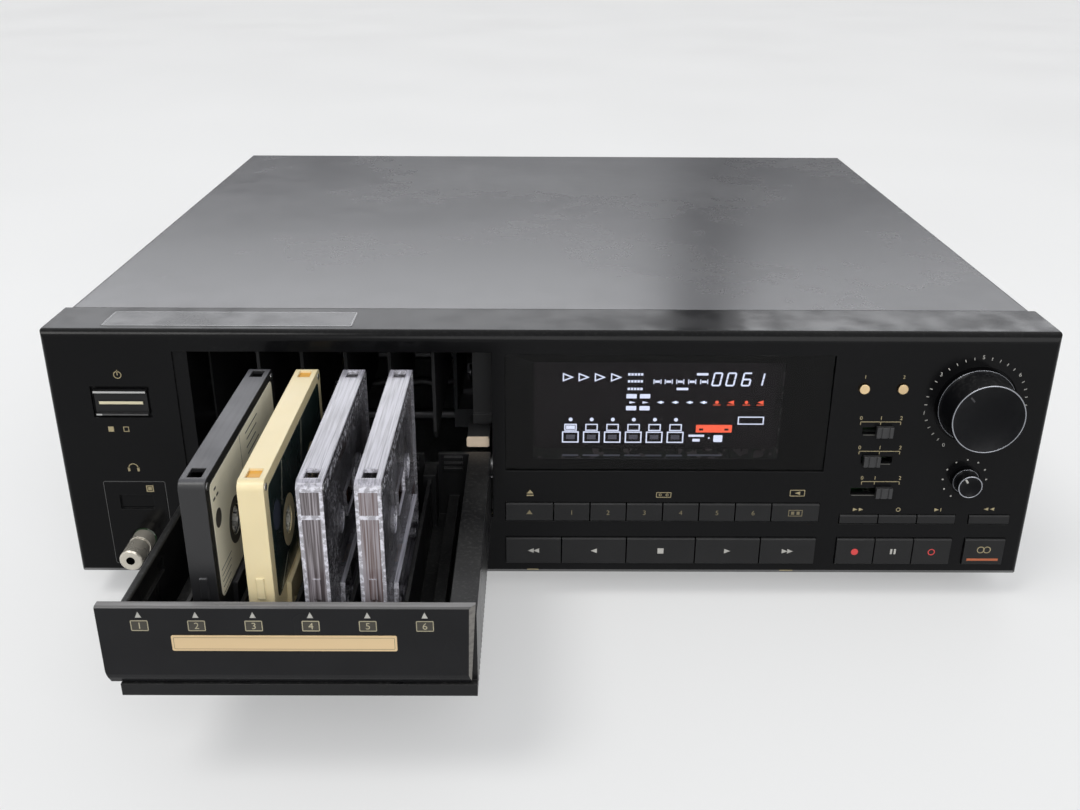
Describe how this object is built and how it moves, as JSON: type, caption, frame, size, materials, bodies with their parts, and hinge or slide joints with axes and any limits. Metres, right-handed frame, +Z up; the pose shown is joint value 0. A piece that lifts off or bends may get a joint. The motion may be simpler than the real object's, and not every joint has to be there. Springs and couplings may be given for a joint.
{
  "type": "cassette changer deck",
  "caption": "Wide black audio deck with a run-out tray of upright cassettes, a fluorescent display, rows of keys, two round controls and a sliding transport inside.",
  "frame": {"origin": "middle of the footprint, on the surface that the feet stand on, with the tray run out", "axes": "+Y points to the rear, away from the keys; +Z is up; +X is to the right, seen from the front"},
  "size_m": [0.4204, 0.499, 0.1276],
  "materials": {
    "cover_paint": "satin dark grey",
    "plated_steel": "dull zinc plate",
    "rear_paint": "satin black",
    "panel_black": "glossy black",
    "window_smoke": "smoked, glossy",
    "display_glass": "dark glass",
    "board_green": "varnished board",
    "transformer_core": "varnished laminations",
    "foot_rubber": "black",
    "black_screw": "black zinc",
    "jack_gold": "gold plated",
    "gland_black": "black",
    "adaptor_metal": "satin nickel",
    "knob_black": "satin black",
    "key_black": "satin black",
    "switch_cap": "satin black",
    "button_gold": "gold",
    "tray_black": "fine satin",
    "drawer_face": "semi-gloss dark charcoal",
    "gear_white": "natural acetal",
    "belt_rubber": "black",
    "motor_can": "plated",
    "guide_black": "matt black",
    "ground_steel": "ground",
    "carriage_grey": "dark grey",
    "head_metal": "plated",
    "shell_black": "satin black",
    "shell_cream": "cream",
    "shell_clear": "clear, lightly smoked"
  },
  "bodies": {
    "case": {"chassis": "plated_steel", "top_cover": "cover_paint", "rear_panel": "rear_paint", "front_panel": "panel_black", "display_window": "window_smoke", "display_tube": "display_glass", "control_board": "board_green", "main_board": "board_green", "power_transformer": "transformer_core", "feet": "foot_rubber", "case_screws": "black_screw", "rear_jacks": "jack_gold", "cord_gland": "gland_black", "phones_board": "board_green", "tray_rails": "plated_steel", "drive_belt": "belt_rubber", "tray_motor": "motor_can", "cassette_guide": "guide_black", "guide_rods": "ground_steel"},
    "tray": {"tray": "tray_black", "tray_front": "drawer_face"},
    "cassette_black": {"cassette_black": "shell_black"},
    "cassette_cream": {"cassette_cream": "shell_cream"},
    "cassette_clear_a": {"cassette_clear_a": "shell_clear"},
    "cassette_clear_b": {"cassette_clear_b": "shell_clear"},
    "drive_pinion": {"drive_pinion": "gear_white"},
    "drive_pulley": {"drive_pulley": "gear_white"},
    "lead_screw": {"lead_screw": "ground_steel"},
    "carriage": {"carriage": "carriage_grey"},
    "head_block": {"head_block": "head_metal"},
    "jack_adaptor": {"jack_adaptor": "adaptor_metal"},
    "level_knob": {"level_knob": "knob_black"},
    "balance_knob": {"balance_knob": "knob_black"},
    "power_button": {"power_button": "key_black"},
    "counter_button_left": {"counter_button_left": "button_gold"},
    "counter_button_right": {"counter_button_right": "button_gold"},
    "switch_upper": {"switch_upper": "switch_cap"},
    "switch_middle": {"switch_middle": "switch_cap"},
    "switch_lower": {"switch_lower": "switch_cap"},
    "open_key": {"open_key": "key_black"},
    "number_key_1": {"number_key_1": "key_black"},
    "number_key_2": {"number_key_2": "key_black"},
    "number_key_3": {"number_key_3": "key_black"},
    "number_key_4": {"number_key_4": "key_black"},
    "number_key_5": {"number_key_5": "key_black"},
    "number_key_6": {"number_key_6": "key_black"},
    "return_key": {"return_key": "key_black"},
    "rewind_key": {"rewind_key": "key_black"},
    "reverse_play_key": {"reverse_play_key": "key_black"},
    "stop_key": {"stop_key": "key_black"},
    "play_key": {"play_key": "key_black"},
    "forward_key": {"forward_key": "key_black"},
    "relay_key": {"relay_key": "key_black"},
    "random_key": {"random_key": "key_black"},
    "scan_key": {"scan_key": "key_black"},
    "tape_rewind_key": {"tape_rewind_key": "key_black"},
    "record_key": {"record_key": "key_black"},
    "pause_key": {"pause_key": "key_black"},
    "mute_key": {"mute_key": "key_black"},
    "sync_key": {"sync_key": "key_black"}
  },
  "joints": [
    {"name": "tray_slide", "type": "slide", "parent": "case", "child": "tray", "axis": [0, -1, 0], "range_m": [-0.124, 0]},
    {"name": "cassette_black_lift", "type": "slide", "parent": "tray", "child": "cassette_black", "axis": [0, 0, 1], "range_m": [0, 0.08]},
    {"name": "cassette_cream_lift", "type": "slide", "parent": "tray", "child": "cassette_cream", "axis": [0, 0, 1], "range_m": [0, 0.08]},
    {"name": "cassette_clear_a_lift", "type": "slide", "parent": "tray", "child": "cassette_clear_a", "axis": [0, 0, 1], "range_m": [0, 0.08]},
    {"name": "cassette_clear_b_lift", "type": "slide", "parent": "tray", "child": "cassette_clear_b", "axis": [0, 0, 1], "range_m": [0, 0.08]},
    {"name": "pinion_spin", "type": "hinge", "parent": "case", "child": "drive_pinion", "pos_m": [-0.0258, -0.1035, 0.0341], "axis": [1, 0, 0], "range_deg": [-790, 1]},
    {"name": "pulley_spin", "type": "hinge", "parent": "case", "child": "drive_pulley", "pos_m": [-0.0258, -0.08511, 0.03019], "axis": [1, 0, 0], "range_deg": [-1, 1394]},
    {"name": "carriage_slide", "type": "slide", "parent": "case", "child": "carriage", "axis": [1, 0, 0], "range_m": [-0.0942, 0]},
    {"name": "lead_screw_spin", "type": "hinge", "parent": "case", "child": "lead_screw", "pos_m": [0, 0.0577, 0.03], "axis": [1, 0, 0], "range_deg": [-1801, 1]},
    {"name": "head_lift", "type": "slide", "parent": "carriage", "child": "head_block", "axis": [0, 0, 1], "range_m": [0, 0.004]},
    {"name": "adaptor_pull", "type": "slide", "parent": "case", "child": "jack_adaptor", "axis": [0, -1, 0], "range_m": [0, 0.045]},
    {"name": "level_turn", "type": "hinge", "parent": "case", "child": "level_knob", "pos_m": [0.1784, -0.1255, 0.0962], "axis": [0, 1, 0], "range_deg": [-150, 150]},
    {"name": "balance_turn", "type": "hinge", "parent": "case", "child": "balance_knob", "pos_m": [0.1792, -0.1255, 0.061], "axis": [0, 1, 0], "range_deg": [-116, 184]},
    {"name": "power_press", "type": "slide", "parent": "case", "child": "power_button", "axis": [0, 1, 0], "range_m": [0, 0.003], "stiffness_N_per_m": 500},
    {"name": "counter_left_press", "type": "slide", "parent": "case", "child": "counter_button_left", "axis": [0, 1, 0], "range_m": [0, 0.0012], "stiffness_N_per_m": 500},
    {"name": "counter_right_press", "type": "slide", "parent": "case", "child": "counter_button_right", "axis": [0, 1, 0], "range_m": [0, 0.0012], "stiffness_N_per_m": 500},
    {"name": "open_press", "type": "slide", "parent": "case", "child": "open_key", "axis": [0, 1, 0], "range_m": [0, 0.0012], "stiffness_N_per_m": 500},
    {"name": "number_key_1_press", "type": "slide", "parent": "case", "child": "number_key_1", "axis": [0, 1, 0], "range_m": [0, 0.0012], "stiffness_N_per_m": 500},
    {"name": "number_key_2_press", "type": "slide", "parent": "case", "child": "number_key_2", "axis": [0, 1, 0], "range_m": [0, 0.0012], "stiffness_N_per_m": 500},
    {"name": "number_key_3_press", "type": "slide", "parent": "case", "child": "number_key_3", "axis": [0, 1, 0], "range_m": [0, 0.0012], "stiffness_N_per_m": 500},
    {"name": "number_key_4_press", "type": "slide", "parent": "case", "child": "number_key_4", "axis": [0, 1, 0], "range_m": [0, 0.0012], "stiffness_N_per_m": 500},
    {"name": "number_key_5_press", "type": "slide", "parent": "case", "child": "number_key_5", "axis": [0, 1, 0], "range_m": [0, 0.0012], "stiffness_N_per_m": 500},
    {"name": "number_key_6_press", "type": "slide", "parent": "case", "child": "number_key_6", "axis": [0, 1, 0], "range_m": [0, 0.0012], "stiffness_N_per_m": 500},
    {"name": "return_press", "type": "slide", "parent": "case", "child": "return_key", "axis": [0, 1, 0], "range_m": [0, 0.0012], "stiffness_N_per_m": 500},
    {"name": "rewind_press", "type": "slide", "parent": "case", "child": "rewind_key", "axis": [0, 1, 0], "range_m": [0, 0.0012], "stiffness_N_per_m": 500},
    {"name": "reverse_play_press", "type": "slide", "parent": "case", "child": "reverse_play_key", "axis": [0, 1, 0], "range_m": [0, 0.0012], "stiffness_N_per_m": 500},
    {"name": "stop_press", "type": "slide", "parent": "case", "child": "stop_key", "axis": [0, 1, 0], "range_m": [0, 0.0012], "stiffness_N_per_m": 500},
    {"name": "play_press", "type": "slide", "parent": "case", "child": "play_key", "axis": [0, 1, 0], "range_m": [0, 0.0012], "stiffness_N_per_m": 500},
    {"name": "forward_press", "type": "slide", "parent": "case", "child": "forward_key", "axis": [0, 1, 0], "range_m": [0, 0.0012], "stiffness_N_per_m": 500},
    {"name": "relay_press", "type": "slide", "parent": "case", "child": "relay_key", "axis": [0, 1, 0], "range_m": [0, 0.0012], "stiffness_N_per_m": 500},
    {"name": "random_press", "type": "slide", "parent": "case", "child": "random_key", "axis": [0, 1, 0], "range_m": [0, 0.0012], "stiffness_N_per_m": 500},
    {"name": "scan_press", "type": "slide", "parent": "case", "child": "scan_key", "axis": [0, 1, 0], "range_m": [0, 0.0012], "stiffness_N_per_m": 500},
    {"name": "tape_rewind_press", "type": "slide", "parent": "case", "child": "tape_rewind_key", "axis": [0, 1, 0], "range_m": [0, 0.0012], "stiffness_N_per_m": 500},
    {"name": "record_press", "type": "slide", "parent": "case", "child": "record_key", "axis": [0, 1, 0], "range_m": [0, 0.0012], "stiffness_N_per_m": 500},
    {"name": "pause_press", "type": "slide", "parent": "case", "child": "pause_key", "axis": [0, 1, 0], "range_m": [0, 0.0012], "stiffness_N_per_m": 500},
    {"name": "mute_press", "type": "slide", "parent": "case", "child": "mute_key", "axis": [0, 1, 0], "range_m": [0, 0.0012], "stiffness_N_per_m": 500},
    {"name": "sync_press", "type": "slide", "parent": "case", "child": "sync_key", "axis": [0, 1, 0], "range_m": [0, 0.0012], "stiffness_N_per_m": 500},
    {"name": "switch_upper_slide", "type": "slide", "parent": "case", "child": "switch_upper", "axis": [1, 0, 0], "range_m": [-0.005, 0]},
    {"name": "switch_middle_slide", "type": "slide", "parent": "case", "child": "switch_middle", "axis": [1, 0, 0], "range_m": [0, 0.005]},
    {"name": "switch_lower_slide", "type": "slide", "parent": "case", "child": "switch_lower", "axis": [1, 0, 0], "range_m": [-0.01, 0]}
  ],
  "couplings": [
    {"joint": "pinion_spin", "follows": "tray_slide", "rad_per_m": 111.11},
    {"joint": "pulley_spin", "follows": "tray_slide", "rad_per_m": -196.08},
    {"joint": "lead_screw_spin", "follows": "carriage_slide", "rad_per_m": 333.5}
  ]
}
